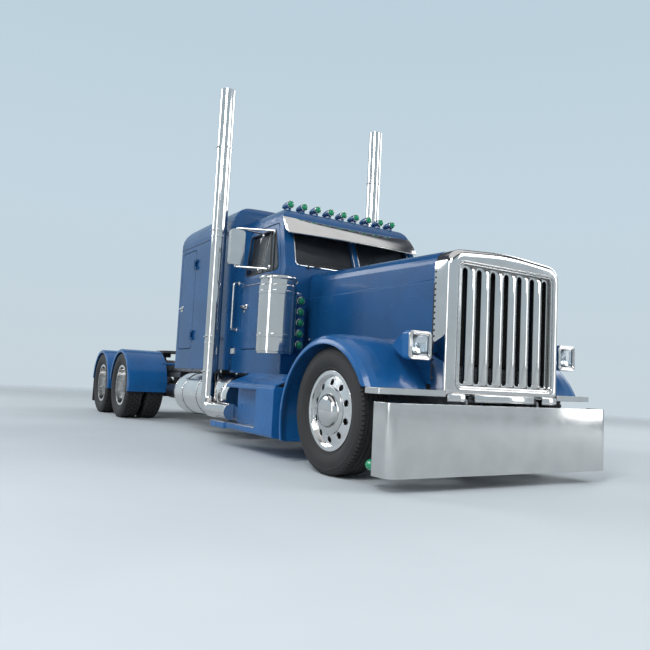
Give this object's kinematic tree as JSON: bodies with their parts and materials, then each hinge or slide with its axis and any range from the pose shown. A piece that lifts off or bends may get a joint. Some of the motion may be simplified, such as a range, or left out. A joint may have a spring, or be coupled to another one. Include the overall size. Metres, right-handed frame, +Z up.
{
  "type": "semi truck tractor unit",
  "caption": "Long-nose road tractor with a sleeper, tall twin stacks, a tilting hood, hinged doors, steered front wheels, twin-tyred drive wheels and a rocking fifth wheel.",
  "frame": {"origin": "middle of the vehicle's bounding box, on the ground under it", "axes": "+X forward, +Y to the driver's left, +Z up"},
  "size_m": [9.56, 2.58, 4.29],
  "materials": {
    "blue_paint": "gloss",
    "fender_paint": "gloss",
    "chrome": "polished",
    "polished_aluminium": "polished",
    "frame_paint": "satin",
    "running_gear": "satin",
    "coupling_steel": "greased",
    "engine_paint": "satin",
    "core_black": "matte",
    "tank_black": "gloss",
    "tyre": "matte",
    "flap_rubber": "matte",
    "dark_glass": "gloss",
    "clear_lens": "gloss",
    "green_lens": "gloss",
    "red_lens": "gloss",
    "upholstery": "soft",
    "dash_plastic": "grained",
    "bedding": "woven"
  },
  "bodies": {
    "chassis": {"frame_rails": "frame_paint", "front_bumper": "chrome", "front_axle": "running_gear", "front_springs": "running_gear", "engine": "engine_paint", "radiator": "core_black", "cab_shell": "blue_paint", "windshield": "dark_glass", "sun_visor": "chrome", "roof_lamps": "blue_paint", "marker_lenses": "green_lens", "seats": "upholstery", "dashboard": "dash_plastic", "sleeper_shell": "blue_paint", "bunk": "bedding", "air_cleaners": "chrome", "exhaust_stacks": "chrome", "fuel_tanks": "polished_aluminium", "tank_straps": "polished_aluminium", "step_boxes": "fender_paint", "air_tanks": "tank_black", "deck_plate": "polished_aluminium", "drive_axles": "running_gear", "rear_suspension": "running_gear", "rear_fenders": "fender_paint", "rear_bar": "chrome", "mud_flaps": "flap_rubber", "tail_lamps": "red_lens", "fifth_wheel_base": "coupling_steel"},
    "hood": {"hood_panel": "blue_paint", "grille_shell": "chrome", "grille_bars": "chrome", "front_fenders": "fender_paint", "fender_trim": "chrome", "headlamp_pods": "fender_paint", "headlamp_lenses": "clear_lens"},
    "fifth_wheel": {"fifth_wheel_plate": "coupling_steel"},
    "track_rod": {"tie_rod": "running_gear"},
    "cab_door_left": {"door_left": "blue_paint", "door_glass_left": "dark_glass", "mirror_left": "chrome"},
    "sleeper_door_left": {"bay_door_left": "blue_paint"},
    "steering_left": {"knuckle_left": "running_gear"},
    "front_wheel_left": {"front_tyre_left": "tyre", "front_wheel_left": "polished_aluminium"},
    "drive_wheels_1_left": {"twin_tyres_1_left": "tyre", "twin_wheels_1_left": "polished_aluminium"},
    "drive_wheels_2_left": {"twin_tyres_2_left": "tyre", "twin_wheels_2_left": "polished_aluminium"},
    "cab_door_right": {"door_right": "blue_paint", "door_glass_right": "dark_glass", "mirror_right": "chrome"},
    "sleeper_door_right": {"bay_door_right": "blue_paint"},
    "steering_right": {"knuckle_right": "running_gear"},
    "front_wheel_right": {"front_tyre_right": "tyre", "front_wheel_right": "polished_aluminium"},
    "drive_wheels_1_right": {"twin_tyres_1_right": "tyre", "twin_wheels_1_right": "polished_aluminium"},
    "drive_wheels_2_right": {"twin_tyres_2_right": "tyre", "twin_wheels_2_right": "polished_aluminium"}
  },
  "joints": [
    {"name": "steer_left", "type": "hinge", "parent": "chassis", "child": "steering_left", "pos_m": [3.82, 0.9, 0.535], "axis": [0, 0, 1], "range_deg": [-40, 40]},
    {"name": "steer_right", "type": "hinge", "parent": "chassis", "child": "steering_right", "pos_m": [3.82, -0.9, 0.535], "axis": [0, 0, 1], "range_deg": [-40, 40]},
    {"name": "track_rod_pivot", "type": "hinge", "parent": "steering_left", "child": "track_rod", "pos_m": [3.63, 0.9, 0.44], "axis": [0, 0, 1], "range_deg": [-40, 40]},
    {"name": "hood_tilt", "type": "hinge", "parent": "chassis", "child": "hood", "pos_m": [4.665, 0, 0.678], "axis": [0, 1, 0], "range_deg": [0, 60]},
    {"name": "fifth_wheel_rock", "type": "hinge", "parent": "chassis", "child": "fifth_wheel", "pos_m": [-3.11, 0, 1.071], "axis": [0, 1, 0], "range_deg": [-10, 10]},
    {"name": "cab_door_left_swing", "type": "hinge", "parent": "chassis", "child": "cab_door_left", "pos_m": [2.398, 0.95, 1.5], "axis": [0, 0, -1], "range_deg": [0, 70]},
    {"name": "sleeper_door_left_swing", "type": "hinge", "parent": "chassis", "child": "sleeper_door_left", "pos_m": [0.028, 1.02, 1.78], "axis": [0, 0, -1], "range_deg": [0, 90]},
    {"name": "front_wheel_left_spin", "type": "hinge", "parent": "steering_left", "child": "front_wheel_left", "pos_m": [3.82, 1.03, 0.535], "axis": [0, 1, 0], "continuous": true},
    {"name": "drive_wheels_1_left_spin", "type": "hinge", "parent": "chassis", "child": "drive_wheels_1_left", "pos_m": [-2.7, 0.915, 0.535], "axis": [0, 1, 0], "continuous": true},
    {"name": "drive_wheels_2_left_spin", "type": "hinge", "parent": "chassis", "child": "drive_wheels_2_left", "pos_m": [-4.02, 0.915, 0.535], "axis": [0, 1, 0], "continuous": true},
    {"name": "cab_door_right_swing", "type": "hinge", "parent": "chassis", "child": "cab_door_right", "pos_m": [2.398, -0.95, 1.5], "axis": [0, 0, 1], "range_deg": [0, 70]},
    {"name": "sleeper_door_right_swing", "type": "hinge", "parent": "chassis", "child": "sleeper_door_right", "pos_m": [0.028, -1.02, 1.78], "axis": [0, 0, 1], "range_deg": [0, 90]},
    {"name": "front_wheel_right_spin", "type": "hinge", "parent": "steering_right", "child": "front_wheel_right", "pos_m": [3.82, -1.03, 0.535], "axis": [0, 1, 0], "continuous": true},
    {"name": "drive_wheels_1_right_spin", "type": "hinge", "parent": "chassis", "child": "drive_wheels_1_right", "pos_m": [-2.7, -0.915, 0.535], "axis": [0, 1, 0], "continuous": true},
    {"name": "drive_wheels_2_right_spin", "type": "hinge", "parent": "chassis", "child": "drive_wheels_2_right", "pos_m": [-4.02, -0.915, 0.535], "axis": [0, 1, 0], "continuous": true}
  ],
  "couplings": [
    {"joint": "steer_right", "follows": "steer_left", "ratio": 1},
    {"joint": "track_rod_pivot", "follows": "steer_left", "ratio": -1}
  ]
}
